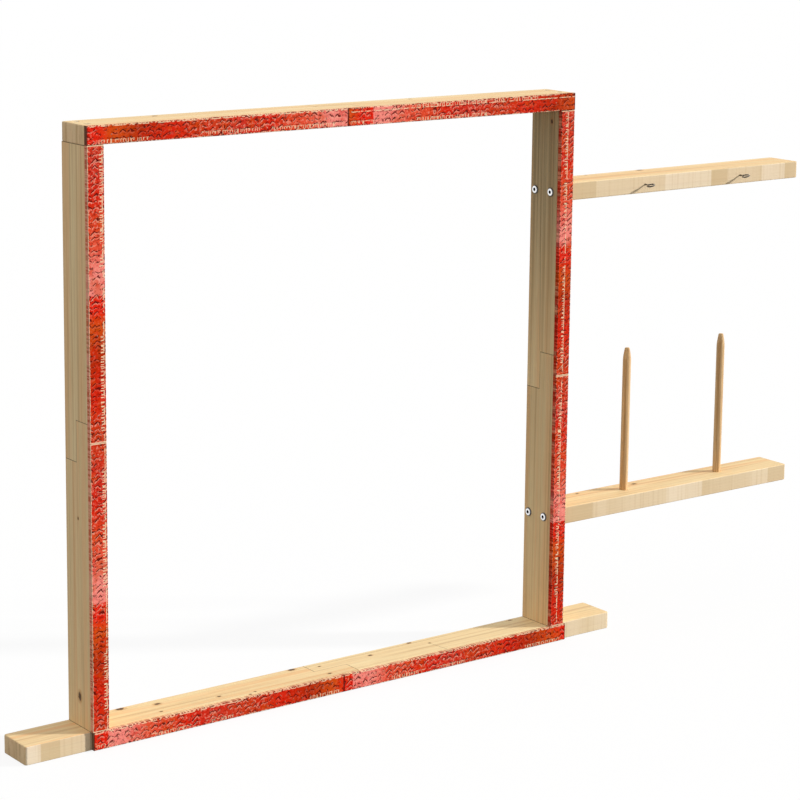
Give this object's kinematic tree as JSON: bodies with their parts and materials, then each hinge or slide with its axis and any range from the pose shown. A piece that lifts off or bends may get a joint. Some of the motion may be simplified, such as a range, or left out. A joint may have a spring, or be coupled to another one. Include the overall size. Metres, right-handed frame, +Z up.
{
  "type": "tufting frame",
  "caption": "Free-standing pine frame with pinned gripper strips that stretch a backing cloth, and two side arms for yarn cones and yarn guides.",
  "frame": {"origin": "on the floor, under the middle of the outline box", "axes": "+X to the right along the base rail, towards the arms; +Y from the gripper strips to the back of the timber; +Z up"},
  "size_m": [1.53, 0.087, 0.92],
  "materials": {
    "pine_board": "planed pine, unfinished, satin",
    "dowel_wood": "smooth turned hardwood dowel",
    "gripper_wood": "plywood lath with a printed red face",
    "bolt_steel": "bright zinc plate",
    "screw_steel": "zinc plate",
    "nut_steel": "zinc plate",
    "eye_wire": "dark bronzed steel wire"
  },
  "bodies": {
    "frame": {"base_rail_left": "pine_board", "base_rail_right": "pine_board", "top_rail_left": "pine_board", "top_rail_right": "pine_board", "left_upright_lower": "pine_board", "left_upright_upper": "pine_board", "right_upright_lower": "pine_board", "right_upright_upper": "pine_board", "yarn_guide_arm": "pine_board", "cone_arm": "pine_board", "gripper_strip_top_left": "gripper_wood", "gripper_strip_top_right": "gripper_wood", "gripper_strip_base_left": "gripper_wood", "gripper_strip_base_right": "gripper_wood", "gripper_strip_left_lower": "gripper_wood", "gripper_strip_left_upper": "gripper_wood", "gripper_strip_right_lower": "gripper_wood", "gripper_strip_right_upper": "gripper_wood", "arm_bolt_upper_front": "bolt_steel", "arm_bolt_upper_back": "bolt_steel", "arm_bolt_lower_front": "bolt_steel", "arm_bolt_lower_back": "bolt_steel", "barrel_nut_upper_front": "nut_steel", "barrel_nut_upper_back": "nut_steel", "barrel_nut_lower_front": "nut_steel", "barrel_nut_lower_back": "nut_steel", "corner_screw_top_left_front": "screw_steel", "corner_screw_top_left_back": "screw_steel", "corner_screw_top_right_front": "screw_steel", "corner_screw_top_right_back": "screw_steel", "corner_screw_base_left_front": "screw_steel", "corner_screw_base_left_back": "screw_steel", "corner_screw_base_right_front": "screw_steel", "corner_screw_base_right_back": "screw_steel", "lap_screw_base_left": "screw_steel", "lap_screw_base_right": "screw_steel", "lap_screw_top_left": "screw_steel", "lap_screw_top_right": "screw_steel", "lap_screw_left_lower": "screw_steel", "lap_screw_left_upper": "screw_steel", "lap_screw_right_lower": "screw_steel", "lap_screw_right_upper": "screw_steel"},
    "inner_peg": {"cone_peg_inner": "dowel_wood"},
    "outer_peg": {"cone_peg_outer": "dowel_wood"},
    "inner_eye": {"yarn_eye_inner": "eye_wire"},
    "outer_eye": {"yarn_eye_outer": "eye_wire"}
  },
  "joints": [
    {"name": "inner_peg_lift", "type": "slide", "parent": "frame", "child": "inner_peg", "axis": [0, 0, 1], "range_m": [0, 0.06]},
    {"name": "outer_peg_lift", "type": "slide", "parent": "frame", "child": "outer_peg", "axis": [0, 0, 1], "range_m": [0, 0.06]},
    {"name": "inner_eye_turn", "type": "hinge", "parent": "frame", "child": "inner_eye", "pos_m": [0.407, -0.0225, 0.758], "axis": [0, -1, 0], "range_deg": [-90, 90]},
    {"name": "outer_eye_turn", "type": "hinge", "parent": "frame", "child": "outer_eye", "pos_m": [0.626, -0.0225, 0.758], "axis": [0, -1, 0], "range_deg": [-90, 90]}
  ]
}
